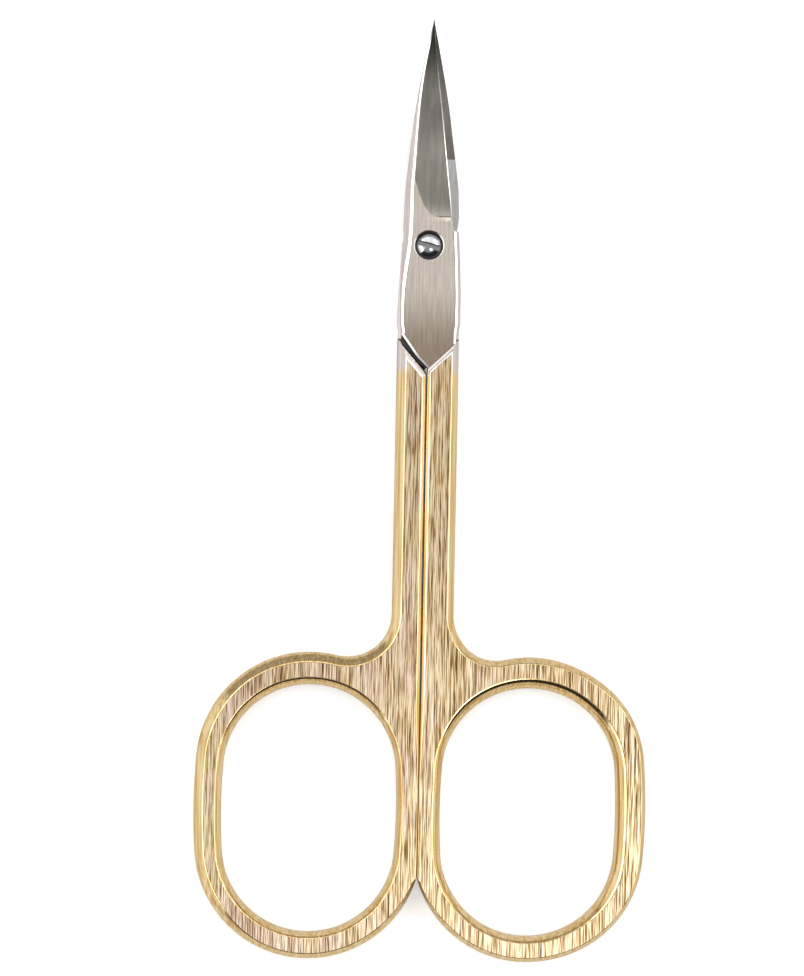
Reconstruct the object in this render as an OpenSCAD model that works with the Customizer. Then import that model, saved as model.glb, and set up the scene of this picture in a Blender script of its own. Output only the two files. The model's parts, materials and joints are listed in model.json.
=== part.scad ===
// Cuticle scissors: two one-piece forged halves and the slotted screw that joins them.
// Millimetres. Y points from the finger loops to the tips and Z points up, from the table to the screw head.
// The upper half carries the right finger loop. Its shank and loop, turned over, are those of the lower half.

/* [Handles] */
// Thickness of the shanks and finger loops
handle_t = 3; // [2.4:0.1:3.6]
// Width of one shank, seen from above
shank_w = 2.84; // [2.4:0.02:3.2]
// Gap between the two shanks when the scissors are closed
halves_gap = 0.06; // [0.04:0.01:0.2]
// Width of the rounded outer flank beside the flat face of a shank
shank_flank = 0.88; // [0.4:0.02:1]
// Width of the chamfer along the inner edge of a shank
inner_chamfer = 0.36; // [0.1:0.02:0.5]
// Distance from the pivot down to the middle of the finger holes
loop_y = 54.2; // [50:0.1:60]
// How far the outline of each loop would lap over the centre line, if it weren't cut off there
loop_lap = 0.55; // [0.3:0.05:0.9]
// Radius of the fillet between shank and finger loop
web_fillet_r = 4.2; // [3.4:0.1:4.6]

/* [Finger loops] */
// Width of a finger loop over its outer edges
loop_w = 22.1; // [20:0.1:24]
// Height of a finger loop over its outer edges
loop_h = 29.4; // [27:0.1:32]
// Distance from the long axis of a loop to the middle of its outer corner curves
loop_corner_in = 1.75; // [1.4:0.05:2.2]
// Width of the band at the long sides of a loop
side_band = 2.65; // [2.2:0.05:3.1]
// Width of the band at the two ends of a loop
end_band = 2.82; // [2.4:0.02:3.3]
// Distance from the long axis of a finger hole to the middle of its corner curves
hole_corner_in = 0.6; // [0.4:0.05:1]
// How far the middle of the outer edge lies above the middle of the hole
loop_rise = 0.3; // [0:0.1:0.6]
// Radius of the long sides of the loops
side_r = 60; // [50:1:80]
// Half angle that each long side spans
side_angle = 4; // [3:0.1:4.4]
// Width of the rounded flanks of a loop, seen from above
loop_flank = 0.72; // [0.3:0.02:0.8]

/* [Joint] */
// How much lower the ground joint faces lie than the shank faces
joint_drop = 0.22; // [0.1:0.02:0.4]
// Gap between the two halves at the joint and along the blades
blade_play = 0.03; // [0.02:0.01:0.08]
// Distance from the centre line to the outer edge of a joint plate
plate_half_w = 2.96; // [2.9:0.01:3.1]
// Width of the bevelled side of a joint plate, seen from above
plate_side = 0.62; // [0.4:0.02:0.8]
// How far the back of a joint plate lies inside the outer edge of the other one
back_inset = 0.33; // [0.1:0.01:0.5]
// Distance from the pivot down to the outer end of the vee edge of a joint plate
vee_outer_y = 8.6; // [8:0.1:9.2]
// Distance from the pivot down to the point of the vee edge of a joint plate
vee_point_y = 12.1; // [11.6:0.1:12.6]
// Gap along Y between a vee edge and the shoulder of the other half
vee_gap = 0.7; // [0.4:0.05:1]
// Width of the chamfer along a vee edge
vee_chamfer = 0.24; // [0.1:0.02:0.3]
// Distance from the pivot down to the outer end of the step between plate and shank face
step_outer_y = 9.3; // [9:0.1:9.8]
// Distance from the pivot down to the inner end of the step between plate and shank face
step_point_y = 11.9; // [11.4:0.1:12.4]
// Width of the sloped band of that step
slope_w = 0.5; // [0.3:0.05:0.8]

/* [Screw] */
// Diameter of the screw head
head_d = 2.76; // [2.4:0.02:3]
// Depth of the counterbore that the head sits in
head_seat = 0.56; // [0.4:0.02:0.7]
// How far the domed head stands proud of the joint plate
head_proud = 0.12; // [0.04:0.02:0.3]
// Width of the edge chamfer around the counterbore
seat_chamfer = 0.16; // [0.05:0.01:0.2]
// Width of the screwdriver slot
slot_w = 0.56; // [0.4:0.02:0.8]
// Depth of the screwdriver slot
slot_depth = 0.36; // [0.2:0.02:0.5]
// Angle of the slot from the X axis, with the scissors closed
slot_angle = -14; // [-90:1:90]
// Diameter of the plain neck that the upper half turns on
neck_d = 1.9; // [1.8:0.05:2.1]
// Clearance between the screw and the upper half
turn_clearance = 0.03; // [0.01:0.01:0.06]
// Outer diameter of the screw thread
thread_d = 1.7; // [1.5:0.05:1.75]
// Pitch of the thread
thread_pitch = 0.32; // [0.26:0.01:0.4]
// Clearance between the thread and the lower half
thread_clearance = 0.02; // [0.01:0.01:0.04]
// Width of the flared end that keeps the screw from backing out
flare_w = 0.14; // [0.06:0.01:0.2]

/* [Blades] */
// Distance from the pivot to the tips
blade_reach = 21.33; // [19:0.01:25]
// Radius of the upward curve of the blades
curve_r = 44; // [38:1:80]
// Distance from the pivot at which the curve starts
curve_start = 3; // [3:0.1:6]
// Distance from the pivot to the middle station of the blade back
back_mid_y = 11; // [10:0.1:12]
// Distance from the centre line to the blade back at the middle station
back_mid_w = 1.8; // [1.7:0.02:2]
// How fast the blade back closes in at the middle station
back_taper = 0.115; // [0.11:0.001:0.125]
// Radius of the blade back between the joint and the middle station
back_root_r = 190; // [170:5:260]
// Distance from the centre line to the cutting edge at the heel
edge_root_w = 2.12; // [2:0.02:2.2]
// Bulge of the cutting edge, as a share of its distance from the centre line
edge_bulge = 0.12; // [0:0.01:0.2]
// Distance from the pivot to the heel where the cutting edge starts
heel_y = 1.4; // [1.1:0.1:1.6]
// Radius of the fillet at the heel
heel_r = 0.4; // [0.2:0.05:0.5]
// Distance from the pivot to the foot of the step where the ground face starts
grind_y = 2.75; // [2.6:0.05:3.2]
// Thickness of the blade tips on the centre line
tip_t = 0.3; // [0.2:0.02:0.5]
// How strongly the blade thins towards the tip
thin_power = 1.9; // [1.2:0.1:2.2]
// Fall of the ground face from blade back to cutting edge, per millimetre of width
grind_fall = 0.21; // [0.1:0.01:0.24]
// Width of the narrow bevel along the cutting edge at its root
edge_bevel = 0.24; // [0.1:0.02:0.3]

/* [Hidden] */
$fn = 72;

satin_steel = [0.72, 0.7, 0.68];
champagne_gold = [0.85, 0.7, 0.46];
polished_steel = [0.62, 0.62, 0.63];

// The frame's origin lies on the table, under the middle of the whole object.
pivot_y = (loop_y - loop_rise + loop_h / 2 - blade_reach) / 2;

loop_x = loop_w / 2 - loop_lap;
loop_corner_r = loop_w / 2 - loop_corner_in;
hole_w = loop_w - 2 * side_band;
hole_h = loop_h - 2 * end_band;
hole_corner_r = hole_w / 2 - hole_corner_in;
mid_z = handle_t / 2;
plate_top = handle_t - joint_drop;
plate_t = plate_top - mid_z - blade_play / 2;
shank_in = halves_gap / 2;
shank_out = shank_in + shank_w;
foot_inset = 0.03;
plate_foot_w = shank_out - foot_inset;
vee_w = plate_foot_w - back_inset;
past = 1;
far = 60;

function on_circle(c, r, a) = [c.x + r * cos(a), c.y + r * sin(a)];

// A flank is a third of an ellipse, in three steps above mid height and three below.
flank_angles = [60, 40, 20, 0, -20, -40, -60];
function flank(w) = [
    for (a = flank_angles) [-w * (1 - cos(a)) / (1 - cos(60)), mid_z * (1 + sin(a) / sin(60))]
];

// An oval has two long sides of radius side_r, four corners, and two ends that meet the corners tangentially.
function corner_c(w, r) = [w / 2 - side_r + (side_r - r) * cos(side_angle), (side_r - r) * sin(side_angle)];
function end_r(w, h, r) =
    let(c = corner_c(w, r), d = h / 2 - c.y)
    (c.x * c.x + d * d - r * r) / (2 * (d - r));
function end_angle(w, h, r) =
    let(c = corner_c(w, r))
    atan2(c.y - h / 2 + end_r(w, h, r), c.x);

// Sweeps a section round an oval. Section x counts outwards from the outline, and section y is the height.
// The corners stand a trace proud and run on past both their ends, so that neighbouring sweeps cross cleanly.
proud = 0.01;
run_on = 10;
module around_oval(w, h, r) {
    c = corner_c(w, r);
    er = end_r(w, h, r);
    ea = end_angle(w, h, r);
    for (turn = [0, 180])
        rotate([0, 0, turn]) {
            translate([w / 2 - side_r, 0, 0])
                rotate([0, 0, -side_angle])
                    rotate_extrude(angle = 2 * side_angle)
                        translate([side_r, 0])
                            children();
            translate([0, h / 2 - er, 0])
                rotate([0, 0, ea])
                    rotate_extrude(angle = 180 - 2 * ea)
                        translate([er, 0])
                            children();
            for (flip = [0, 1])
                mirror([flip, 0, 0])
                    translate([c.x, c.y, 0])
                        rotate([0, 0, side_angle - run_on])
                            rotate_extrude(angle = ea - side_angle + 2 * run_on)
                                translate([r + proud, 0])
                                    children();
        }
}

// How far the two sweeps of a loop reach inwards from their outlines, so that the hole clears the loop's band.
band_w = end_band + loop_rise + past;

module loop_band() {
    intersection() {
        translate([loop_x, loop_rise - loop_y, 0])
            around_oval(loop_w, loop_h, loop_corner_r)
                polygon(concat(flank(loop_flank), [[-band_w, 0], [-band_w, handle_t]]));
        translate([shank_in, -far - loop_y, -past])
            cube([far, 2 * far, handle_t + 2 * past]);
    }
}

module finger_hole() {
    wall = [for (p = flank(loop_flank)) [-p.x, p.y]];
    lid = [
        [loop_flank, -past],
        [-band_w, -past],
        [-band_w, handle_t + past],
        [loop_flank, handle_t + past]
    ];
    translate([loop_x, -loop_y, 0])
        around_oval(hole_w, hole_h, hole_corner_r)
            polygon(concat(wall, lid));
}

module shank() {
    outer = [for (p = flank(shank_flank)) [shank_out + p.x, p.y]];
    inner = [
        [shank_in + inner_chamfer, 0],
        [shank_in, inner_chamfer],
        [shank_in, handle_t - inner_chamfer],
        [shank_in + inner_chamfer, handle_t]
    ];
    translate([0, -vee_outer_y, 0])
        rotate([90, 0, 0])
            linear_extrude(loop_y - vee_outer_y)
                polygon(concat(outer, inner));
}

// The web between shank and loop: a fillet that runs into both, and the flat area behind it.
loop_end_r = end_r(loop_w, loop_h, loop_corner_r);
loop_end_c = [loop_x, loop_rise - loop_y + loop_h / 2 - loop_end_r];
corner_middle = [
    loop_x - corner_c(loop_w, loop_corner_r).x,
    loop_rise - loop_y + corner_c(loop_w, loop_corner_r).y
];
fillet_x = shank_out + web_fillet_r;
fillet_rise = sqrt(pow(loop_end_r + web_fillet_r - 2 * proud, 2) - pow(loop_x - fillet_x, 2));
fillet_c = [fillet_x, loop_end_c.y + fillet_rise];
fillet_turn = 90 + atan2(loop_x - fillet_x, fillet_rise);

module web() {
    fillet_w = shank_w - inner_chamfer;
    flat_x = shank_in + inner_chamfer + shank_w / 4;
    translate([fillet_c.x, fillet_c.y, 0])
        rotate([0, 0, 180])
            rotate_extrude(angle = fillet_turn)
                translate([web_fillet_r, 0])
                    polygon(concat(
                        [for (p = flank(shank_flank)) [-p.x, p.y]],
                        [[fillet_w, 0], [fillet_w, handle_t]]
                    ));
    linear_extrude(handle_t)
        polygon(concat(
            [[flat_x, fillet_c.y - past]],
            [for (a = [0.1:0.2:0.9]) on_circle(fillet_c, web_fillet_r + fillet_w / 2, 180 + a * fillet_turn)],
            [for (a = [105:15:180]) on_circle(corner_middle, loop_corner_r - 2 * loop_flank, a)]
        ));
}

// Extrudes a section along a slanting line of the vee, from its point on the centre line outwards.
// Section x counts from the line towards the tips, and section y is the height.
module along_vee(point_y, outer_y) {
    translate([0, -point_y, 0])
        rotate([0, 0, atan2(point_y - outer_y, vee_w)])
            translate([-far / 2, 0, 0])
                rotate([90, 0, 90])
                    linear_extrude(far)
                        children();
}

// The shank ends above in the step down to its own joint plate, and below in the shoulder beside the other one.
module shank_end() {
    split_z = mid_z + blade_play / 2;
    along_vee(step_point_y, step_outer_y)
        polygon([
            [0, split_z],
            [0, plate_top],
            [-slope_w, handle_t],
            [-slope_w, handle_t + past],
            [far / 4, handle_t + past],
            [far / 4, split_z]
        ]);
    along_vee(vee_point_y + vee_gap, vee_outer_y + vee_gap)
        polygon([
            [0, split_z],
            [0, 2 * joint_drop],
            [-slope_w, 0],
            [-slope_w, -past],
            [far / 4, -past],
            [far / 4, split_z]
        ]);
}

module handle() {
    difference() {
        union() {
            loop_band();
            shank();
            web();
        }
        finger_hole();
        shank_end();
    }
}

// Half width of the closed scissors at distance y from the pivot: the outer plate edge, then the blade back.
back_tip_bend = let(d = blade_reach - back_mid_y) (back_mid_w - back_taper * d) / (d * d);
function back_w(y) =
    let(d = y - back_mid_y)
    back_mid_w - back_taper * d - d * d * (d > 0 ? back_tip_bend : 1 / (2 * back_root_r));
function outer_w(y) = min(back_w(y), plate_half_w, y < past - vee_outer_y ? plate_foot_w : far);

// The cutting edge runs nearly straight from the heel to the tip.
function edge_share(y) = (blade_reach - y) / (blade_reach - heel_y);
function edge_w(y) = let(s = edge_share(y)) edge_root_w * s * (1 + edge_bulge * (1 - s));
function heel_w(y) =
    let(d = max(0, heel_y + heel_r - y))
    heel_r - sqrt(max(0, heel_r * heel_r - d * d));

// Left and right edge of the upper joint plate and blade. The tail of the plate is buried in the shank and narrows
// there, no faster than the step that covers it.
tail_w = 1.2;
function vee_x(y) = -vee_w * (vee_point_y + y) / (vee_point_y - vee_outer_y);
function step_x(y) = vee_w * (step_point_y + y) / (step_point_y - step_outer_y);
function inset(y) = back_inset * max(0, min(1, 1 - y / (2 * grind_y)));
function left_x(y) =
    y <= -vee_point_y ? shank_in + inner_chamfer :
    max(vee_x(y), inset(y) - outer_w(y), inset(y) - back_w(y));
function right_x(y) =
    y < -step_outer_y ? max(tail_w, step_x(y) + plate_side) :
    y < heel_y ? outer_w(y) :
    edge_w(y) + heel_w(y);

// The two halves part along a surface of revolution about the pivot, so they clear each other at every angle.
function parting(x, y) =
    let(run = max(0, norm([x, y]) - curve_start))
    y < 0 ? 0 : curve_r - sqrt(curve_r * curve_r - run * run);

// Height of the plate's or blade's face above the parting surface.
function ground_t(x, y) =
    let(s = (blade_reach - y) / (blade_reach - curve_start))
    tip_t + (plate_t - tip_t) * pow(s, thin_power) - grind_fall * x;
function face_t(x, y) = y < grind_y ? plate_t : min(plate_t, ground_t(x, y));
// Where the ground face runs out into the flat plate.
function runout_x(y) = (ground_t(0, y) - plate_t) / grind_fall;

// Shares of a cross section: the widest that a side and a cutting bevel may be, how near the crest of the grinding
// comes to either side, and the height at which a side turns steep.
side_share = 0.3;
bevel_share = 0.12;
crest_share = 0.15;
turn_share = 0.7;
vee_foot_share = 0.2;

// One cross section as pairs of x and height above the parting surface, from the left edge anticlockwise.
function section(y) =
    let(
        l = min(left_x(y), shank_in + inner_chamfer, y > 0 ? -tip_w / 2 : far),
        r = max(right_x(y), tip_w / 2),
        w = r - l,
        on_vee = y <= -vee_outer_y,
        side = on_vee ? vee_chamfer / (1 - vee_foot_share) : min(plate_side - inset(y), side_share * w),
        flank_l = on_vee ? vee_foot_share * side : side / 2,
        cutting = y >= heel_y,
        bevel = cutting ? min(edge_bevel, bevel_share * w) : min(plate_side, side_share * w),
        back = l + side,
        front = r - bevel,
        beside = front - bevel_share * w,
        margin = crest_share * (front - back),
        crest = max(back + margin, min(runout_x(y), front - margin)),
        mid = y < grind_y ? (back + front) / 2 : crest,
        back_t = face_t(back, y)
    )
    [
        for (share = [0, 0.25, 0.5, 0.75, 1]) [l + share * w, 0],
        cutting ? [front, face_t(front, y)] : [r - bevel / 2, turn_share * plate_t],
        cutting ? [beside, face_t(beside, y)] : [front, face_t(front, y)],
        [mid, face_t(mid, y)],
        [back, back_t],
        [l + flank_l, turn_share * back_t]
    ];

// Stations along the plate and blade. The tail runs on into the shank, and the tip keeps a blunt end of tip_w.
tip_w = 0.1;
tail_end = 0.8;
steps = 6;
plate_from = past + 0.1 - vee_outer_y;
plate_to = heel_y - 0.05;
curve_from = grind_y + curve_start;
stations = concat(
    [-vee_point_y - tail_end, -vee_point_y],
    [for (beyond = [-0.7, -0.3, 0, 0.3]) beyond - vee_outer_y],
    [for (i = [0:4]) plate_from + i * (plate_to - plate_from) / 4],
    [heel_y, heel_y + heel_r / 3, heel_y + heel_r, grind_y - heel_r],
    [for (i = [0:steps]) grind_y + i * curve_start / steps],
    [for (i = [1:15]) curve_from + i * (blade_reach - tip_w - curve_from) / 15],
    [blade_reach]
);

// The joint plate and blade in one piece. dir is 1 for the upper half and -1 for the lower one.
module tang(dir) {
    rings = [for (y = stations) section(y)];
    m = len(rings[0]);
    n = len(stations);
    points = [
        for (i = [0:n - 1], p = rings[i])
            let(y = stations[i], h = parting(p.x, y) + dir * (blade_play / 2 + p.y))
            [dir * p.x, y, mid_z + h]
    ];
    sides = [
        for (i = [0:n - 2], j = [0:m - 1], half = [0, 1])
            let(a = i * m + j, b = i * m + (j + 1) % m, c = a + m, d = b + m)
            half == 0 ? [a, b, d] : [a, d, c]
    ];
    last = (n - 1) * m;
    ends = [
        for (j = [0:m - 3], e = [0, 1])
            e == 0 ? [m - 1, j + 1, j] : [last + m - 1, last + j, last + j + 1]
    ];
    polyhedron(points, concat(sides, ends));
}

// Section of the screw thread, of outer radius r, from the flush end up to the neck.
seat_z = plate_top - head_seat;
neck_end_z = mid_z - blade_play / 2;
thread_deep = 0.6 * thread_pitch;
thread_form = [[0, 0.1], [1, 0.45], [1, 0.6], [0, 0.95]];
function thread_section(r) =
    let(turns = floor((neck_end_z - joint_drop) / thread_pitch), root = r - thread_deep)
    concat(
        [[0, joint_drop], [root, joint_drop]],
        [
            for (i = [0:turns - 1], p = thread_form)
                [root + p.x * thread_deep, joint_drop + (i + p.y) * thread_pitch]
        ],
        [[root, neck_end_z + thread_clearance], [0, neck_end_z + thread_clearance]]
    );

module screw_hole() {
    bore_r = neck_d / 2 + turn_clearance;
    seat_r = head_d / 2 + turn_clearance;
    translate([0, 0, mid_z - past])
        cylinder(h = handle_t, r = bore_r);
    translate([0, 0, seat_z])
        cylinder(h = head_seat + past, r = seat_r);
    translate([0, 0, plate_top - seat_chamfer])
        cylinder(h = 2 * seat_chamfer, r1 = seat_r, r2 = seat_r + 2 * seat_chamfer);
}

module tapped_hole() {
    hole_r = thread_d / 2 + thread_clearance;
    rotate_extrude()
        polygon(thread_section(hole_r));
    translate([0, 0, joint_drop - past])
        cylinder(h = handle_t, r = hole_r - thread_deep);
    translate([0, 0, joint_drop - flare_w])
        cylinder(h = 2 * flare_w, r1 = hole_r + 2 * flare_w, r2 = hole_r);
}

module front_half() {
    translate([0, pivot_y, 0])
        difference() {
            union() {
                color(champagne_gold)
                    handle();
                color(satin_steel)
                    tang(1);
            }
            screw_hole();
        }
}

module rear_half() {
    translate([0, pivot_y, 0])
        difference() {
            union() {
                color(champagne_gold)
                    translate([0, 0, handle_t])
                        rotate([0, 180, 0])
                            handle();
                color(satin_steel)
                    tang(-1);
            }
            tapped_hole();
        }
}

// The head's face is a shallow dome that starts just below the joint plate.
module screw_head() {
    rim_drop = 0.06;
    head_r = head_d / 2;
    dome_h = rim_drop + head_proud;
    dome_r = (head_r * head_r + dome_h * dome_h) / (2 * dome_h);
    foot_z = seat_z + turn_clearance;
    difference() {
        intersection() {
            translate([0, 0, foot_z])
                cylinder(h = head_seat + past, r = head_r);
            translate([0, 0, plate_top + head_proud - dome_r])
                sphere(r = dome_r);
        }
        rotate([0, 0, slot_angle])
            translate([0, 0, plate_top + head_proud - slot_depth + past])
                cube([2 * head_d, slot_w, 2 * past], center = true);
    }
}

module pivot_screw() {
    color(polished_steel)
        translate([0, pivot_y, 0]) {
            screw_head();
            translate([0, 0, neck_end_z])
                cylinder(h = seat_z + turn_clearance - neck_end_z + slot_depth / 4, r = neck_d / 2);
            rotate_extrude()
                polygon(thread_section(thread_d / 2));
            translate([0, 0, joint_drop])
                cylinder(h = flare_w, r1 = thread_d / 2 + flare_w, r2 = thread_d / 2);
        }
}

rear_half();
front_half();
pivot_screw();
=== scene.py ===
import json
import math

import bmesh
import bpy
from mathutils import Matrix, Vector


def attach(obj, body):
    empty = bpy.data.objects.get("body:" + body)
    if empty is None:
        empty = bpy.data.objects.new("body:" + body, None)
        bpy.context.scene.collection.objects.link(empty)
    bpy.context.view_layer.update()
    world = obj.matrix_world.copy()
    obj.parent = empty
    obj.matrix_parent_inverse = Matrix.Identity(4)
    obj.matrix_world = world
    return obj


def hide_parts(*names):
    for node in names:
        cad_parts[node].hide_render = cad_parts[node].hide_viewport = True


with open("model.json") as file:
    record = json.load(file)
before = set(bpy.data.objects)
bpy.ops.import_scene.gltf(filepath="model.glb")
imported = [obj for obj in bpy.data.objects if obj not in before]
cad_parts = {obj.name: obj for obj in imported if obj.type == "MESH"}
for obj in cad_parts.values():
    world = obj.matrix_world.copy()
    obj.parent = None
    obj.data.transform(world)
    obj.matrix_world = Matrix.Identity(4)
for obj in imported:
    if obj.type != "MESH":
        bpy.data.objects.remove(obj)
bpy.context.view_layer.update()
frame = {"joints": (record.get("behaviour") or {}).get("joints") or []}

# Cuticle scissors: two gold-plated forgings with bare steel joint and blades, and one slotted screw.
# Shapes are worked out in millimetres from the screw's axis, and put in the frame, in metres, at the end.
# Y points to the tips and Z up. What is drawn is the upper half, with its loop on the right, and the lower half is
# the same turned over.
PIVOT = Vector(frame["joints"][0]["pos_m"])
MM = 0.001
TO_FRAME = Matrix.Translation(PIVOT) @ Matrix.Scale(MM, 4)
# Further than anything at the joint reaches.
FAR = 60.0

# Shanks and finger loops: thickness, inner and outer side and inner chamfer of a shank, and top of its outline,
# which the joint plate covers.
HANDLE_T = 3.0
MID_Z = HANDLE_T / 2
SHANK_IN, SHANK_OUT, SHANK_CHAMFER, SHANK_TOP = 0.03, 2.87, 0.36, -7.0
# Middle of a finger hole, and how much higher the middle of the loop's outline lies.
LOOP_X, LOOP_Y, LOOP_RISE = 10.5, -54.2, 0.3
LOOP_SIZE, HOLE_SIZE = (22.1, 29.4), (16.8, 23.76)
# Radius of the long sides of loop and hole, and of the fillet between shank and loop.
SIDE_R, FILLET_R = 60.0, 4.2

# Joint plates: height of the upper face, gap between the halves, and half width at the screw and at the foot.
PLATE_TOP, PLAY = 2.78, 0.03
PLATE_T = PLATE_TOP - MID_Z - PLAY / 2
PLATE_HALF_W, PLATE_FOOT_W, PLATE_SIDE = 2.96, 2.84, 0.62
# How far the back of one plate lies inside the outer edge of the other.
BACK_INSET = 0.33
# Outer end and point of the vee edge and of the step up to the shank, as distances below the screw, and their width.
VEE_OUTER, VEE_POINT, VEE_W = 8.6, 12.1, 2.51
STEP_OUTER, STEP_POINT = 9.3, 11.9
# How far the shoulder beside the other plate stands back from its vee edge, at the point and at the outer end.
SHOULDER_POINT, SHOULDER_OUTER = 0.15, 0.75
# The plate's tail is buried in the shank: how far it runs past the vee's point, and its least half width.
TAIL_END, TAIL_W = 0.8, 1.2
# Widest that the chamfer of the vee edge, the bevel of the plate's side and the cutting bevel get, from above.
VEE_CHAMFER, PLATE_BEVEL, EDGE_BEVEL = 0.3, 0.55, 0.13
# How far the foot of the plate's side stands clear of the other plate.
SIDE_LIFT = 0.3

# Blades: reach past the screw, the heel where the cutting edge starts and its fillet, and the foot of the step
# where the ground face starts.
BLADE_REACH, HEEL_Y, HEEL_R, GRIND_Y = 21.33, 1.4, 0.4, 2.75
# The back's distance from the centre line and its taper at the middle station, and its radius before that.
BACK_MID_Y, BACK_MID_W, BACK_TAPER, BACK_ROOT_R = 11.0, 1.8, 0.115, 190.0
# The cutting edge's distance from the centre line at the heel, and its bulge.
EDGE_ROOT_W, EDGE_BULGE = 2.12, 1.5
# The upward curve's start and radius, and the tip's thickness and width.
CURVE_START, CURVE_R = 3.0, 44.0
TIP_T, TIP_W = 0.3, 0.1
# Length of the step down to the ground face, and the face's fall per millimetre of width, further out and at its
# root, which ends ROOT_END past the screw.
GRIND_STEP = 0.45
FALL, ROOT_FALL, ROOT_END = 0.21, 0.15, 10.0
# Exponent with which the blade thins towards its tip.
THIN_POWER = 1.9
# The blade's inner side, which lies on the other blade, turns from ground to polished here.
POLISHED_FROM = 8.5

# Screw: radius of the head, how far it stands proud of the plate, the height of its rim, and its seat.
HEAD_R, HEAD_PROUD, RIM_Z = 1.27, 0.12, 2.5
SEAT_R, SEAT_Z = 1.37, 2.22
# Radius of neck, thread, thread root and flared end, and the thread's start, pitch and number of rings.
NECK_R, THREAD_R, ROOT_R, FLARE_R = 0.95, 0.85, 0.66, 0.99
THREAD_Z, PITCH, TURNS = 0.36, 0.32, 3
SLOT_W, SLOT_DEPTH, SLOT_ANGLE = 0.5, 0.32, -14

# The two halves aren't quite alike in the hand-finished tool. The right loop stands out further and its upper side
# lies lower, a hole follows its loop by HOLE_FOLLOWS, the right side of shank and joint stands out, and so does the
# joint's left side, by a different amount on each half.
LOOP_WIDER, LOOP_LOWER, HOLE_FOLLOWS = 0.3, 0.17, 0.4
RIGHT_WIDER, FRONT_LEFT_WIDER, REAR_LEFT_WIDER = 0.2, 0.08, -0.15
# Over these stretches below the screw the flank of the shank turns into that of the loop, the loop starts to stand
# out further, and its upper side starts to lie lower. Along Y, the chamfer at the centre line grows out of the loops.
FLANK_TURNS, WIDER_FROM, LOWER_FROM, CHAMFER_GROWS = (38.0, 42.0), (38.0, 44.0), (36.0, 40.0), (-53.0, -42.0)
# Where two loops lie side by side, their flanks and chamfers narrow to this share.
LEAST_SHARE = 0.2
# The lower blade's back shows a little more beside the upper blade, by this share of its width.
LOWER_BACK_WIDER = 0.1


# ---- materials ----

def srgb(code):
    """An sRGB hex colour as linear RGBA."""
    parts = [int(code[i:i + 2], 16) / 255 for i in (0, 2, 4)]
    return [c / 12.92 if c <= 0.04045 else ((c + 0.055) / 1.055) ** 2.4 for c in parts] + [1.0]


def add(tree, kind, settings=None, **links):
    """Adds a node, sets its properties, sockets and colour stops, and links inputs to other nodes' sockets.

    A stop is a place and a hex colour or grey level. A link is named for its input, or _ and the input's number.
    """
    node = tree.nodes.new(kind)
    for key, value in (settings or {}).items():
        if key == "stops":
            marks = node.color_ramp.elements
            while len(marks) < len(value):
                marks.new(0.5)
            for mark, (at, shade) in zip(marks, value):
                mark.position = at
                mark.color = srgb(shade) if isinstance(shade, str) else [shade] * 3 + [1.0]
        elif isinstance(key, int) or key in node.inputs:
            node.inputs[key].default_value = value
        else:
            setattr(node, key, value)
    for key, socket in links.items():
        name = int(key[1:]) if key[0] == "_" else key.replace("_", " ")
        tree.links.new(socket, node.inputs[name])
    return node


def new_material(name, settings):
    """A material of one shader with these sockets set."""
    material = bpy.data.materials.new(name)
    material.use_nodes = True
    tree = material.node_tree
    tree.nodes.clear()
    shader = add(tree, "ShaderNodeBsdfPrincipled", settings)
    add(tree, "ShaderNodeOutputMaterial", None, Surface=shader.outputs["BSDF"])
    return material, tree, shader


def streaks(tree, across_mm, along_mm, detail, seed):
    """Noise drawn out along the scissors, as a brush leaves it: width and length of a stroke in millimetres."""
    place = add(tree, "ShaderNodeTexCoord").outputs["Object"]
    stretch = add(tree, "ShaderNodeMapping", {
        "Location": (seed, seed, seed),
        "Scale": (1000 / across_mm, 1000 / along_mm, 1000 / across_mm),
    }, Vector=place)
    return add(tree, "ShaderNodeTexNoise", {
        "Scale": 1.0, "Detail": detail, "Roughness": 0.6,
    }, Vector=stretch.outputs["Vector"]).outputs["Fac"]


def graded(tree, axis, low, high, at_low=0.0, at_high=1.0, kind="SMOOTHSTEP"):
    """A value that changes between two places along an axis, which count in millimetres from the screw."""
    place = add(tree, "ShaderNodeTexCoord").outputs["Object"]
    level = add(tree, "ShaderNodeSeparateXYZ", None, Vector=place).outputs[axis]
    zero = PIVOT["XYZ".index(axis)]
    return add(tree, "ShaderNodeMapRange", {
        "interpolation_type": kind, "From Min": zero + low * MM, "From Max": zero + high * MM,
        "To Min": at_low, "To Max": at_high,
    }, Value=level).outputs["Result"]


def past_plating(tree, below_screw):
    """0 on the plated handles and 1 on the bare joint. The plating thins out over 1.2 mm."""
    return graded(tree, "Y", -below_screw - 0.6, -below_screw + 0.6)


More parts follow.
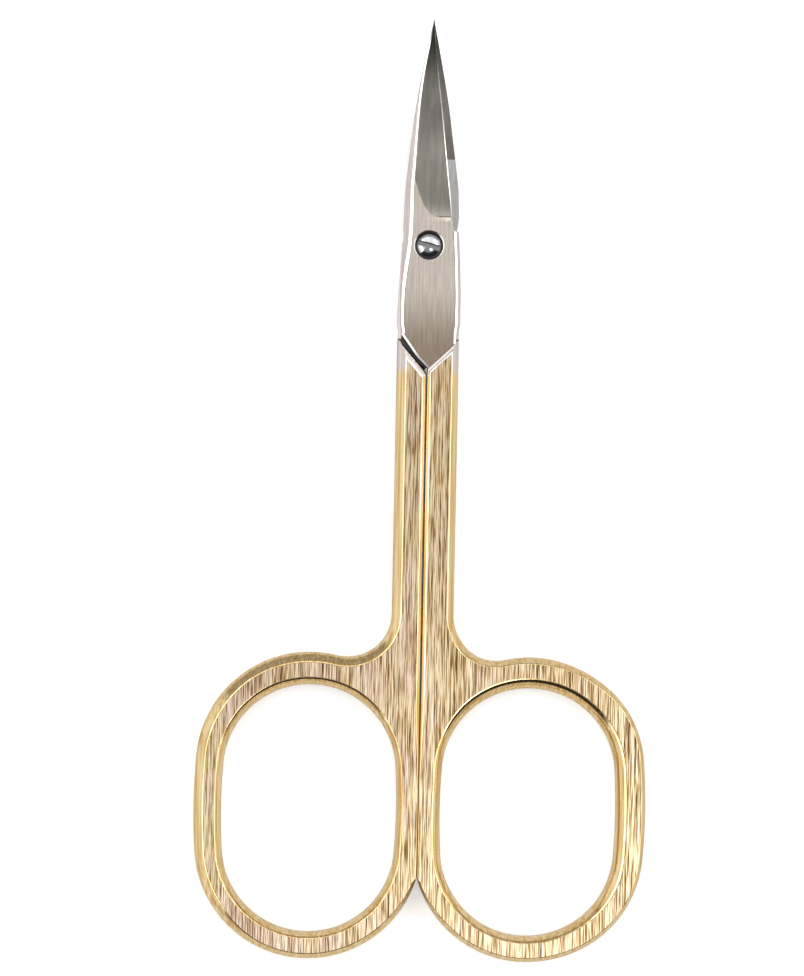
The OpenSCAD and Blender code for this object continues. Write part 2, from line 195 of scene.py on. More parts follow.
def brushed_gold():
    """Champagne-gold plating on a brushed forging: fine streaks along the length, dark where a stroke runs deep.

    Real strokes are about 0.03 mm wide. That is too fine to show here, so they are drawn two or three times as wide.
    """
    material, tree, shader = new_material("champagne_gold_plating_brushed", {"Metallic": 1.0})
    long_strokes = streaks(tree, 0.085, 6.0, 2, seed=3.1)
    short_strokes = streaks(tree, 0.065, 2.6, 2, seed=9.7)
    both = add(tree, "ShaderNodeMath", {"operation": "ADD"}, _0=long_strokes, _1=short_strokes).outputs[0]
    stroke = add(tree, "ShaderNodeMath", {"operation": "MULTIPLY", 1: 0.5}, _0=both).outputs[0]
    gold = add(tree, "ShaderNodeValToRGB", {"stops": [
        (0.39, "4A3118"), (0.455, "A07B49"), (0.5, "DDBD86"), (0.555, "FFEFC8"),
    ]}, Fac=stroke).outputs["Color"]
    # The plating is pinker in worn patches, more of them on the left loop than on the right one.
    pink = add(tree, "ShaderNodeValToRGB", {"stops": [
        (0.39, "4C3124"), (0.455, "A17D63"), (0.5, "DEBC9E"), (0.555, "FFEEDC"),
    ]}, Fac=stroke).outputs["Color"]
    patches = add(tree, "ShaderNodeValToRGB", {"stops": [(0.4, 0.1), (0.62, 1.0)]},
                  Fac=streaks(tree, 3.0, 7.0, 2, seed=1.3)).outputs["Color"]
    leftward = graded(tree, "X", -2.0, 2.0, 0.85, 0.4, "LINEAR")
    worn = add(tree, "ShaderNodeMath", {"operation": "MULTIPLY"}, _0=patches, _1=leftward).outputs[0]
    plated = add(tree, "ShaderNodeMix", {"data_type": "RGBA"}, Factor=worn, _6=gold, _7=pink).outputs[2]
    steel = add(tree, "ShaderNodeValToRGB", {"stops": [
        (0.37, "9A8F84"), (0.5, "CFC6BC"), (0.6, "EFE9E2"),
    ]}, Fac=stroke).outputs["Color"]
    colour = add(tree, "ShaderNodeMix", {"data_type": "RGBA"}, Factor=past_plating(tree, 10.7), _6=plated, _7=steel)
    tree.links.new(colour.outputs[2], shader.inputs["Base Color"])
    rough = add(tree, "ShaderNodeMapRange", {
        "From Min": 0.35, "From Max": 0.65, "To Min": 0.42, "To Max": 0.28}, Value=stroke)
    tree.links.new(rough.outputs["Result"], shader.inputs["Roughness"])
    bump = add(tree, "ShaderNodeBump", {"Strength": 0.8, "Distance": 0.02 * MM}, Height=stroke)
    tree.links.new(bump.outputs["Normal"], shader.inputs["Normal"])
    return material


def smooth_gold():
    """The same plating on polished flanks: bright and nearly even, with faint lines along the length."""
    material, tree, shader = new_material("champagne_gold_plating_polished", {"Metallic": 1.0, "Roughness": 0.15})
    line = streaks(tree, 0.3, 14.0, 2, seed=5.3)
    gold = add(tree, "ShaderNodeValToRGB", {"stops": [
        (0.35, "D2AC6E"), (0.5, "E8C88F"), (0.65, "F4DDAF"),
    ]}, Fac=line).outputs["Color"]
    steel = add(tree, "ShaderNodeValToRGB", {"stops": [(0.35, "CFC3BC"), (0.65, "E6DBD3")]},
                Fac=line).outputs["Color"]
    colour = add(tree, "ShaderNodeMix", {"data_type": "RGBA"}, Factor=past_plating(tree, 12.1), _6=gold, _7=steel)
    tree.links.new(colour.outputs[2], shader.inputs["Base Color"])
    return material


def satin_steel():
    """Bare steel, ground flat and satin: warm grey with a fine grain along the length, and painted shade that darkens
    it towards the vee.
    """
    material, tree, shader = new_material("satin_stainless_steel", {"Metallic": 1.0, "Roughness": 0.36})
    grain = streaks(tree, 0.12, 3.0, 3, seed=1.7)
    fine = add(tree, "ShaderNodeValToRGB", {"stops": [(0.35, "CBC0B4"), (0.65, "E6DBCF")]},
               Fac=grain).outputs["Color"]
    # Painted shade: the steel's grey darkens towards the vee.
    vee_shade = add(tree, "ShaderNodeValToRGB", {"stops": [(0.0, "BDB2A8"), (1.0, "FFFFFF")]},
               Fac=graded(tree, "Y", -10.5, -3.0)).outputs["Color"]
    both = add(tree, "ShaderNodeMix", {"data_type": "RGBA", "blend_type": "MULTIPLY", 0: 1.0}, _6=fine, _7=vee_shade)
    tree.links.new(both.outputs[2], shader.inputs["Base Color"])
    bump = add(tree, "ShaderNodeBump", {"Strength": 0.15, "Distance": 0.005 * MM}, Height=grain)
    tree.links.new(bump.outputs["Normal"], shader.inputs["Normal"])
    return material


def polished_steel(name, low, high, roughness, across_mm=0.5, along_mm=6.0):
    """Bare steel, polished: even grey that mirrors the studio softly. The greys of some copies carry painted shade,
    painted highlight and painted reflection.
    """
    material, tree, shader = new_material(name, {"Metallic": 1.0, "Roughness": roughness})
    grain = streaks(tree, across_mm, along_mm, 3, seed=7.7)
    colour = add(tree, "ShaderNodeValToRGB", {"stops": [(0.35, low), (0.65, high)]}, Fac=grain)
    tree.links.new(colour.outputs["Color"], shader.inputs["Base Color"])
    return material


MATERIALS = {
    "brushed": brushed_gold(),
    "flank": smooth_gold(),
    "satin": satin_steel(),
    # The blade's polished steel gets a darker grey than the other steel: partly painted shade, for the dark that the
    # ground face mirrors.
    "blade": polished_steel("polished_blade_steel_painted_shade", "87827B", "99948C", 0.2),
    # The edge steel gets a lighter grey than the other steel: partly painted highlight on bevels, arrises, steps and
    # the rim round the screw.
    "edge": polished_steel("ground_edge_steel_painted_highlight", "D9D7D4", "EDEBE8", 0.22),
    # The joint side steel gets a light, pinkish grey: partly painted warm reflection on the sides of plate and blade.
    "side": polished_steel("joint_side_steel_painted_warm_reflection", "DCD0C9", "EDE3DD", 0.25),
    "screw": polished_steel("polished_screw_steel", "B9B9BB", "D0D0D2", 0.1, 0.3, 0.3),
    # Painted shade: dark steel in gaps, holes, the slot's trench and thin strips beside edges, where shade falls.
    "dark": polished_steel("painted_shade_steel", "5A5652", "6E6964", 0.4),
}
SLOTS = list(MATERIALS)


# ---- drawing and shaping ----

def only(kind, geometry):
    """The vertices or the faces among what an operator returns."""
    return [g for g in geometry if isinstance(g, kind)]


def line_through(bm, points):
    """A line of edges through the points, as its vertices in order."""
    verts = bmesh.ops.create_vert(bm, co=points[0])["vert"]
    for point in points[1:]:
        vert = bmesh.ops.extrude_vert_indiv(bm, verts=[verts[-1]])["verts"][0]
        vert.co = point
        verts.append(vert)
    return verts


def line_to(bm, vert, end, steps=1):
    """Goes on from a vertex to (x, y) in equal steps."""
    begin = vert.co.copy()
    for k in range(1, steps + 1):
        vert = bmesh.ops.extrude_vert_indiv(bm, verts=[vert])["verts"][0]
        vert.co = begin.lerp(Vector((*end, begin.z)), k / steps)
    return vert


def arc_to(bm, vert, centre, degrees, steps):
    """Goes on from a vertex along an arc about (x, y), anticlockwise where degrees is positive."""
    out = bmesh.ops.spin(bm, geom=[vert], cent=(*centre, vert.co.z), axis=(0, 0, 1),
                         angle=math.radians(degrees), steps=steps)
    return only(bmesh.types.BMVert, out["geom_last"])[0]


def ring_from(start):
    """The vertices of a closed line in order."""
    ring, edge = [start], start.link_edges[0]
    while True:
        vert = edge.other_vert(ring[-1])
        if vert is start:
            return ring
        ring.append(vert)
        edge = [e for e in vert.link_edges if e is not edge][0]


def ring_edges(bm, ring):
    """The edges of a closed ring of vertices in order."""
    return [bm.edges.get((ring[i], ring[(i + 1) % len(ring)])) for i in range(len(ring))]


def outward(ring):
    """The outward direction at each vertex of a flat closed ring."""
    points = [v.co.copy() for v in ring]
    n = len(points)
    area = sum(points[i - 1].x * points[i].y - points[i].x * points[i - 1].y for i in range(n))
    turn = 1 if area > 0 else -1
    out = []
    for i in range(n):
        before = (points[i] - points[i - 1]).normalized()
        after = (points[(i + 1) % n] - points[i]).normalized()
        way = (before + after).normalized()
        out.append(Vector((way.y, -way.x, 0)) * turn)
    return out


def extrude_ring(bm, ring, places, finish):
    """Extrudes a closed ring of edges to new places, and returns the new ring."""
    out = bmesh.ops.extrude_edge_only(bm, edges=ring_edges(bm, ring))
    fresh = set(only(bmesh.types.BMVert, out["geom"]))
    new = [[e.other_vert(v) for e in v.link_edges if e.other_vert(v) in fresh][0] for v in ring]
    for vert, place in zip(new, places):
        vert.co = place
    for face in only(bmesh.types.BMFace, out["geom"]):
        face.material_index = SLOTS.index(finish)
        face.smooth = True
    return new


def finishes_beside(edge):
    """The finishes of the faces on both sides of an edge."""
    return {face.material_index for face in edge.link_faces}


def crease(bm, degrees):
    """Keeps edges crisp where faces meet more steeply than this, or where their finish changes."""
    for edge in bm.edges:
        gentle = edge.calc_face_angle(math.pi) < math.radians(degrees)
        edge.smooth = len(finishes_beside(edge)) == 1 and gentle
    for face in bm.faces:
        face.smooth = True
    return bm


def as_object(bm, name, materials):
    """An object of the shape with these materials. The bmesh is used up."""
    mesh = bpy.data.meshes.new(name)
    bm.to_mesh(mesh)
    bm.free()
    for material in materials:
        mesh.materials.append(material)
    thing = bpy.data.objects.new(name, mesh)
    bpy.context.scene.collection.objects.link(thing)
    return thing


def finished(bm, name, body, nodes):
    """Puts the shape in the frame and makes it a piece."""
    bmesh.ops.recalc_face_normals(bm, faces=bm.faces)
    bmesh.ops.transform(bm, matrix=TO_FRAME, verts=bm.verts)
    piece = as_object(bm, name, MATERIALS.values())
    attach(piece, body)
    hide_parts(*nodes)


def cut(bm, cutter):
    """Takes the cutter's solid out of the shape."""
    for shape in (bm, cutter):
        bmesh.ops.recalc_face_normals(shape, faces=shape.faces)
    thing = as_object(bm, "shape", MATERIALS.values())
    tool = as_object(cutter, "cutter", MATERIALS.values())
    carve = thing.modifiers.new("cut", "BOOLEAN")
    carve.operation = "DIFFERENCE"
    carve.solver = "EXACT"
    carve.object = tool
    done = thing.evaluated_get(bpy.context.evaluated_depsgraph_get())
    result = bmesh.new()
    result.from_mesh(done.to_mesh())
    for old in (thing, tool):
        mesh = old.data
        bpy.data.objects.remove(old)
        bpy.data.meshes.remove(mesh)
    return result


def joined(first, second):
    """Puts the second shape into the first one."""
    mesh = bpy.data.meshes.new("joined")
    second.to_mesh(mesh)
    second.free()
    first.from_mesh(mesh)
    bpy.data.meshes.remove(mesh)
    return first


def prism(points, finishes, depth):
    """A closed prism: the polygon of (x, z) points, drawn along +Y from 0 to depth, with a finish for each side."""
    bm = bmesh.new()
    verts = line_through(bm, [(x, 0, z) for x, z in points])
    bmesh.ops.contextual_create(bm, geom=[verts[0], verts[-1]])
    face = bmesh.ops.contextual_create(bm, geom=bm.edges[:])["faces"]
    drawn = bmesh.ops.extrude_face_region(bm, geom=face)
    bmesh.ops.translate(bm, vec=(0, depth, 0), verts=only(bmesh.types.BMVert, drawn["geom"]))
    n = len(points)
    middles = [((points[k][0] + points[(k + 1) % n][0]) / 2, (points[k][1] + points[(k + 1) % n][1]) / 2)
               for k in range(n)]
    for side in bm.faces:
        c = side.calc_center_median()
        near = min(range(n), key=lambda k: math.hypot(c.x - middles[k][0], c.z - middles[k][1]))
        side.material_index = SLOTS.index(finishes[near])
    return bm


def rod(profile, finish):
    """A shape turned about the screw's axis: profile is (radius, z) from the axis below to the axis above."""
    bm = bmesh.new()
    line_through(bm, [(r, 0, z) for r, z in profile])
    bmesh.ops.spin(bm, geom=bm.verts[:] + bm.edges[:], cent=(0, 0, 0), axis=(0, 0, 1), angle=2 * math.pi,
                   steps=96, use_merge=True)
    bmesh.ops.remove_doubles(bm, verts=bm.verts, dist=1e-5)
    bmesh.ops.recalc_face_normals(bm, faces=bm.faces)
    for face in bm.faces:
        face.material_index = SLOTS.index(finish)
        face.smooth = True
    return bm


def block(size, centre, turn, finish):
    """A box, turned about the screw's axis by turn degrees."""
    bm = bmesh.new()
    bmesh.ops.create_cube(bm, size=1)
    bmesh.ops.scale(bm, vec=size, verts=bm.verts)
    bmesh.ops.translate(bm, vec=centre, verts=bm.verts)
    bmesh.ops.rotate(bm, cent=(0, 0, 0), matrix=Matrix.Rotation(math.radians(turn), 3, "Z"), verts=bm.verts)
    for face in bm.faces:
        face.material_index = SLOTS.index(finish)
    return bm


def smoothstep(x, low, high):
    """0 up to low and 1 from high on, with a smooth rise between them."""
    t = max(0.0, min(1.0, (x - low) / (high - low)))
    return t * t * (3 - 2 * t)


# ---- handles ----

# Profiles from the edge of the flat face down to mid height, as share of the flank's width and drop. The flank is
# rounded at its upper edge, slopes at 40 to 50 degrees and ends in a steep side. The chamfer slopes at 30 degrees.
# The wall of a hole is one round. All three have the same number of points, so that one can turn into another.
FLANK = [(1, 0), (0.955, 0.004), (0.91, 0.015), (0.865, 0.033), (0.82, 0.058), (0.75, 0.103), (0.61, 0.2),
         (0.48, 0.304), (0.34, 0.417), (0.23, 0.52), (0.135, 0.615), (0.07, 0.705), (0.028, 0.79), (0.008, 0.9),
         (0, 1.05), (0, MID_Z)]
CHAMFER = [(1, 0), (0.95, 0.002), (0.88, 0.01), (0.8, 0.024), (0.7, 0.044), (0.6, 0.066), (0.5, 0.088),
           (0.4, 0.112), (0.3, 0.138), (0.22, 0.165), (0.15, 0.2), (0.1, 0.25), (0.05, 0.34), (0.02, 0.44),
           (0, 0.6), (0, MID_Z)]
HOLE = [(1, 0), (0.93, 0.008), (0.86, 0.03), (0.79, 0.062), (0.72, 0.1), (0.64, 0.155), (0.54, 0.235),
        (0.44, 0.33), (0.34, 0.44), (0.24, 0.565), (0.15, 0.69), (0.08, 0.8), (0.03, 0.9), (0.008, 1.0),
        (0, 1.15), (0, MID_Z)]

# Widths of the flanks. The halves are one forging, so the slim upper flanks of one are the lower ones of the other.
SLIM = {"shank": 0.7, "inner": 0.42, "loop": 0.42, "top": 0.56, "bottom": 0.5, "hole": 0.8, "hole_outer": 1.05,
        "hole_top": 1.0, "hole_bottom": 0.6}
WIDE = {"shank": 0.98, "inner": 0.4, "loop": 1.0, "top": 0.9, "bottom": 0.6, "hole": 0.62, "hole_outer": 0.66,
        "hole_top": 0.8, "hole_bottom": 0.56}

# Sections of what the two cuts across the shank leave, as (distance back, height), with the finish of each side: the
# step down to the half's own plate, and the shoulder beside the other half's plate. Their dark sides are painted
# shade in the gaps at the joint, and their edge sides carry painted highlight.
STEP = [(0, MID_Z + PLAY / 2), (0, PLATE_TOP), (0.05, 2.83), (0.3, 2.88), (0.36, 2.95), (0.5, HANDLE_T)]
STEP_FINISHES = ["dark", "dark", "side", "dark", "edge"]
SHOULDER = [(0, MID_Z + PLAY / 2), (0, 0.44), (0.1, 0.3), (0.24, 0.16), (0.5, 0.03), (0.6, 0)]
SHOULDER_FINISHES = ["dark", "dark", "side", "side", "edge"]
# How far their cutters reach towards the tips, past the shank's upper end.
CUTTER_AHEAD = 14.0


def end_arc(size):
    """Middle and radius of an oval's round ends, and the angle at which its long sides meet them."""
    w, h = size
    a, b = SIDE_R - w / 2, SIDE_R - h / 2
    y = (a * a - b * b) / (2 * b)
    return y, h / 2 - y, math.degrees(math.atan2(y, a))


def loop_outline(bm):
    """The closed outline of a handle: outer side of the shank, fillet, loop, and back up along the centre line."""
    end_y, end_r, side_a = end_arc(LOOP_SIZE)
    mid_y = LOOP_Y + LOOP_RISE
    fillet_x = SHANK_OUT + FILLET_R
    rise = math.sqrt((end_r + FILLET_R) ** 2 - (LOOP_X - fillet_x) ** 2)
    lean = math.degrees(math.atan2(LOOP_X - fillet_x, rise))
    fillet_y = mid_y + end_y + rise
    last = math.degrees(math.acos((LOOP_X - SHANK_IN) / end_r))
    top = (SHANK_OUT, SHANK_TOP, 0)
    v = line_through(bm, [top])[0]
    v = line_to(bm, v, (SHANK_OUT, fillet_y), 24)
    v = arc_to(bm, v, (fillet_x, fillet_y), 90 + lean, 26)
    v = arc_to(bm, v, (LOOP_X, mid_y + end_y), -(90 + lean - side_a), 60)
    v = arc_to(bm, v, (LOOP_X + LOOP_SIZE[0] / 2 - SIDE_R, mid_y), -2 * side_a, 8)
    v = arc_to(bm, v, (LOOP_X, mid_y - end_y), -(180 - last - side_a), 90)
    v = line_to(bm, v, (SHANK_IN, SHANK_TOP), 50)
    line_to(bm, v, (SHANK_OUT, SHANK_TOP))
    bmesh.ops.remove_doubles(bm, verts=bm.verts, dist=1e-4)
    return ring_from([v for v in bm.verts if (v.co - Vector(top)).length < 1e-3][0])


def hole_outline(bm):
    """The closed outline of a finger hole, beside what is already drawn."""
    others = set(bm.verts)

    def mine():
        return [vert for vert in bm.verts if vert not in others]

    end_y, end_r, side_a = end_arc(HOLE_SIZE)
    start = Vector((LOOP_X + end_r * math.cos(math.radians(side_a)),
                    LOOP_Y + end_y + end_r * math.sin(math.radians(side_a)), 0))
    v = line_through(bm, [start])[0]
    v = arc_to(bm, v, (LOOP_X, LOOP_Y + end_y), 180 - 2 * side_a, 90)
    v = arc_to(bm, v, (LOOP_X - HOLE_SIZE[0] / 2 + SIDE_R, LOOP_Y), 2 * side_a, 8)
    v = arc_to(bm, v, (LOOP_X, LOOP_Y - end_y), 180 - 2 * side_a, 90)
    arc_to(bm, v, (LOOP_X + HOLE_SIZE[0] / 2 - SIDE_R, LOOP_Y), 2 * side_a, 8)
    bmesh.ops.remove_doubles(bm, verts=mine(), dist=1e-4)
    return ring_from(min(mine(), key=lambda vert: (vert.co - start).length))


def hole_flank(way, widths):
    """Width of a hole's wall: widest on the outer side and narrowest at the bottom."""
    w = widths["hole"] + (widths["hole_outer"] - widths["hole"]) * smoothstep(way.x, -0.2, 1.0)
    w += (widths["hole_top"] - w) * smoothstep(way.y, 0.3, 1.0)
    return w + (widths["hole_bottom"] - w) * smoothstep(-way.y, 0.3, 1.0)


def outer_flank(p, way, widths):
    """Width of the flank along the outer side of shank and loop."""
    if way.x < 0 and p.y < LOOP_Y:
        # It narrows where the two loops lie side by side.
        return widths["bottom"] * (LEAST_SHARE + (1 - LEAST_SHARE) * smoothstep(-way.y, 0.0, 0.8))
    loop = smoothstep(-p.y, *FLANK_TURNS)
    w = widths["shank"] + (widths["loop"] - widths["shank"]) * loop
    w += (widths["top"] - w) * smoothstep(way.y, 0.5, 1.0) * loop
    return w + (widths["bottom"] - w) * smoothstep(-way.y, 0.5, 1.0) * loop


def flank_at(p, way, k, widths, is_hole):
    """Inset and drop of profile point k beside outline point p."""
    if is_hole:
        return HOLE[k][0] * hole_flank(way, widths), HOLE[k][1]
    # Along the centre line there is a short chamfer, which also narrows where the loops lie side by side.
    inner = smoothstep(-way.x, 0.96, 0.999) if p.x < SHANK_IN + 0.01 else 0.0
    along = smoothstep(p.y, *CHAMFER_GROWS)
    chamfer = widths["inner"] * (LEAST_SHARE + (1 - LEAST_SHARE) * along)
    shallow = 0.25 + 0.75 * along if k < len(CHAMFER) - 1 else 1
    u = FLANK[k][0] * outer_flank(p, way, widths) * (1 - inner) + CHAMFER[k][0] * chamfer * inner
    return u, FLANK[k][1] * (1 - inner) + CHAMFER[k][1] * inner * shallow


def swept_flank(bm, ring, is_hole, above, below, wider, lower):
    """Sweeps the flank round an outline, and returns the edges of the lower and of the upper flat face."""
    ways = outward(ring)
    base = [vert.co.copy() for vert in ring]
    turn, share = (-1, HOLE_FOLLOWS) if is_hole else (1, 1)
    for p, way in zip(base, ways):
        beyond = smoothstep(p.x, LOOP_X, LOOP_X + 8) * smoothstep(-p.y, *WIDER_FROM)
        p.x += wider * beyond * share
        p.y -= lower * smoothstep(turn * way.y, 0.3, 1) * smoothstep(-p.y, *LOWER_FROM) * share

    def places(k, top):
        """Where the ring lies at profile point k, under the upper face or over the lower one."""
        got = []
        for p, way in zip(base, ways):
            inset, drop = flank_at(p, way, k, above if top else below, is_hole)
            step = way * inset * -turn
            got.append(Vector((p.x + step.x, p.y + step.y, HANDLE_T - drop if top else drop)))
        return got

    for vert, place in zip(ring, places(0, False)):
        vert.co = place
    first = ring
    for k in range(1, len(FLANK)):
        ring = extrude_ring(bm, ring, places(k, False), "flank")
    for k in range(len(FLANK) - 2, -1, -1):
        ring = extrude_ring(bm, ring, places(k, True), "flank")
    return first, ring


def handle(above, below, wider, lower):
    """Shank and loop of the upper half. above and below give the widths of the flanks on its two faces.

    The loop's outer side stands out by wider, and its upper side sits lower by lower.
    """
    bm = bmesh.new()
    outlines = [(loop_outline(bm), False), (hole_outline(bm), True)]
    flanks = [swept_flank(bm, ring, is_hole, above, below, wider, lower) for ring, is_hole in outlines]
    crease(bm, 30)
    for rings in zip(*flanks):
        edges = [edge for ring in rings for edge in ring_edges(bm, ring)]
        filled = bmesh.ops.triangle_fill(bm, use_beauty=True, use_dissolve=False, edges=edges)
        for face in only(bmesh.types.BMFace, filled["geom"]):
            face.material_index = SLOTS.index("brushed")
            face.smooth = False
        for edge in edges:
            edge.smooth = False
    return bm


def shank_cutter(point, outer, wall, finishes):
    """The cutter for one end of the shank: a slanting wall from its point on the centre line outwards.

    wall is the section of what stays, from the joint plane to the shank's face, as (distance back, height).
    """
    (_, low), (back, high) = wall[0], wall[-1]
    off = high + (1 if high > low else -1)
    section = [(-x, z) for x, z in wall] + [(-back, off), (CUTTER_AHEAD, off), (CUTTER_AHEAD, low)]
    bm = prism(section, finishes + ["edge"] * 4, FAR)
    # The prism's X axis counts towards the tips and its Y axis runs along the wall.
    bmesh.ops.translate(bm, vec=(0, -FAR / 2, 0), verts=bm.verts)
    slant = math.pi / 2 + math.atan2(point - outer, VEE_W)
    turn = Matrix.Rotation(slant, 3, "Z") @ Matrix.Scale(-1, 3, (0, 1, 0))
    bmesh.ops.rotate(bm, cent=(0, 0, 0), matrix=turn, verts=bm.verts)
    bmesh.ops.translate(bm, vec=(0, -point, 0), verts=bm.verts)
    return bm


def half_handle(wider=0.0, lower=0.0):
    """The handle of the upper half, cut off above at the step to its plate and below beside the other one."""
    step = shank_cutter(STEP_POINT, STEP_OUTER, STEP, STEP_FINISHES)
    shoulder = shank_cutter(VEE_POINT + SHOULDER_POINT, VEE_OUTER + SHOULDER_OUTER, SHOULDER, SHOULDER_FINISHES)
    shape = cut(cut(handle(SLIM, WIDE, wider, lower), step), shoulder)
    for edge in shape.edges:
        if len(finishes_beside(edge)) > 1:
            edge.smooth = False
    return shape


# ---- joint plates and blades ----

def back_w(y):
    """Distance from the centre line to the blade's back."""
    d = y - BACK_MID_Y
    tip = BLADE_REACH - BACK_MID_Y
    bend = (BACK_MID_W - BACK_TAPER * tip) / (tip * tip)
    return BACK_MID_W - BACK_TAPER * d - d * d * (bend if d > 0 else 1 / (2 * BACK_ROOT_R))


def outer_w(y):
    """Half width of the closed scissors: the outer edge of a plate, then the blade's back."""
    return min(back_w(y), PLATE_HALF_W, PLATE_FOOT_W if y < 1 - VEE_OUTER else FAR)


def edge_w(y):
    """Distance from the centre line to the cutting edge, which runs nearly straight from the heel to the tip."""
    s = (BLADE_REACH - y) / (BLADE_REACH - HEEL_Y)
    return s * (EDGE_ROOT_W + EDGE_BULGE * s * (1 - s))


def heel_w(y):
    """What the fillet at the heel adds to that."""
    d = max(0.0, HEEL_Y + HEEL_R - y)
    return HEEL_R - math.sqrt(max(0.0, HEEL_R * HEEL_R - d * d))


def inset(y):
    """How far the back lies inside the other half's outer edge, dying out along the blade."""
    return BACK_INSET * max(0.0, min(1.0, 1 - y / (2 * GRIND_Y)))


def left_x(y):
    """Left edge of plate and blade: the vee edge, then the back."""
    if y <= -VEE_POINT:
        return SHANK_IN + SHANK_CHAMFER
    vee = -VEE_W * (VEE_POINT + y) / (VEE_POINT - VEE_OUTER)
    return max(vee, inset(y) - outer_w(y), inset(y) - back_w(y))


def right_x(y):
    """Right edge of plate and blade: the tail under the step, the outer edge, then the cutting edge."""
    if y < -STEP_OUTER:
        return max(TAIL_W, VEE_W * (STEP_POINT + y) / (STEP_POINT - STEP_OUTER) + PLATE_SIDE)
    return outer_w(y) if y < HEEL_Y else edge_w(y) + heel_w(y)


def parting(x, y):
    """Height of the surface between the halves over mid height: flat, and curved up about the screw's axis."""
    run = max(0.0, math.hypot(x, y) - CURVE_START)
    return 0.0 if y < 0 else CURVE_R - math.sqrt(CURVE_R * CURVE_R - run * run)


def grinding(y):
    """The ground face at y: its height on the centre line, its fall to the right, and where it starts."""
    s = max((BLADE_REACH - y) / (BLADE_REACH - CURVE_START), 0.0)
    root = 1 - smoothstep(y, CURVE_START, ROOT_END)
    # Near the root the line where the face starts sweeps across from the right, as a power of the way from the step.
    rim = 0.9 - 1.41 * max(y - GRIND_Y, 0.0) ** 0.427
    thinned = TIP_T + (PLATE_T - TIP_T) * s ** THIN_POWER
    height = (1 - root) * thinned + root * (PLATE_T + ROOT_FALL * rim)
    fall = (1 - root) * FALL + root * ROOT_FALL
    return height, fall, (height - PLATE_T) / fall


def face_t(x, y):
    """Height of the face above the parting surface: the plate, a short step, and the ground blade."""
    height, fall, _ = grinding(max(y, GRIND_Y))
    return PLATE_T - smoothstep(y, GRIND_Y - GRIND_STEP, GRIND_Y) * max(0.0, PLATE_T - height + fall * x)


def right_side(y, right, bevel, face):
    """Points up the right side: the cutting bevel, or the side of the plate, which lifts clear of the other one. A
    thin strip of painted shade runs between the bevel and the face, and the bevel's edge steel carries painted
    highlight.
    """
    front = right - bevel
    front_t = face_t(front, y)
    if y >= HEEL_Y:
        return [(right, 0, "edge"), (right - 0.4 * bevel, 0.94 * front_t, "edge"),
                (right - 0.7 * bevel, 0.97 * front_t, "edge"), (right - 0.9 * bevel, 0.99 * front_t, "dark"),
                (front, front_t, face)]
    lift = SIDE_LIFT * smoothstep(y, -10.4, -9.6) * smoothstep(-y, -HEEL_Y, -HEEL_Y / 2)
    return [(right, lift, "side"), (right - 0.06 * bevel, 0.4 * PLATE_T, "side"),
            (right - 0.56 * bevel, 0.94 * PLATE_T, "edge"), (front + 0.06, 0.995 * PLATE_T, "dark"),
            (front, front_t, "satin")]


def left_side(y, left, side):
    """Points down the left side: the chamfer of the vee edge in edge steel with painted highlight, with painted shade
    at its foot, or a thin strip of painted shade, an arris whose edge steel carries painted highlight, and the back's
    round side.
    """
    back = left + side
    back_t = face_t(back, y)
    if y <= -VEE_OUTER:
        return [(back, back_t, "edge"), (back - 0.04, back_t - 0.016, "edge"), (back - 0.24, back_t - 0.1, "edge"),
                (back - 0.28, 0.8 * back_t, "dark")]
    bright = min(0.3 - 0.14 * smoothstep(y, 4, 12), 0.6 * side)
    return [(back, back_t, "dark"), (back - 0.15 * bright, back_t - 0.01, "edge"),
            (back - bright, back_t - 0.38 * bright, "side"), (left + 0.04, 0.4 * back_t, "side")]


def tang_section(y):
    """Points round the plate or blade at y, as (x, height, finish of the strip that follows)."""
    left = min(left_x(y), SHANK_IN + SHANK_CHAMFER, -TIP_W / 2 if y > 0 else FAR)
    right = max(right_x(y), TIP_W / 2)
    w = right - left
    cutting = y >= HEEL_Y
    # The round side of the back widens up to the step and narrows again towards the tip.
    swell = 0.36 + 0.5 * smoothstep(y, -7, 2.8) - 0.66 * smoothstep(y, 2.8, 19)
    side = VEE_CHAMFER if y <= -VEE_OUTER else min(swell, 0.25 * w)
    bevel = min(EDGE_BEVEL, 0.08 * w) if cutting else min(PLATE_BEVEL, 0.3 * w)
    back, front = left + side, right - bevel
    beside = front - 0.12 * w
    crest = max(back + 0.02, min(grinding(max(y, GRIND_Y))[2], beside - 0.02))
    mid = (back + front) / 2 if y < GRIND_Y - 0.5 else crest
    face = "blade" if y >= GRIND_Y - 0.02 else "satin"
    # Where it lies under the shank, the inner side carries painted shade; further on it takes the side, edge and
    # blade steel.
    inner = "dark" if y < 0.1 - VEE_OUTER else "side" if not cutting else "edge" if y < POLISHED_FROM else "blade"
    outer = "edge" if cutting else "side"
    rim = right - 0.34 if not cutting else left + 0.75 * w
    return [
        (left, 0, inner), (left + 0.25 * w, 0, inner), (left + 0.5 * w, 0, inner), (rim, 0, outer),
        *right_side(y, right, bevel, face),
        (beside, face_t(beside, y), face), (mid, face_t(mid, y), "satin"),
        *left_side(y, left, side),
    ]


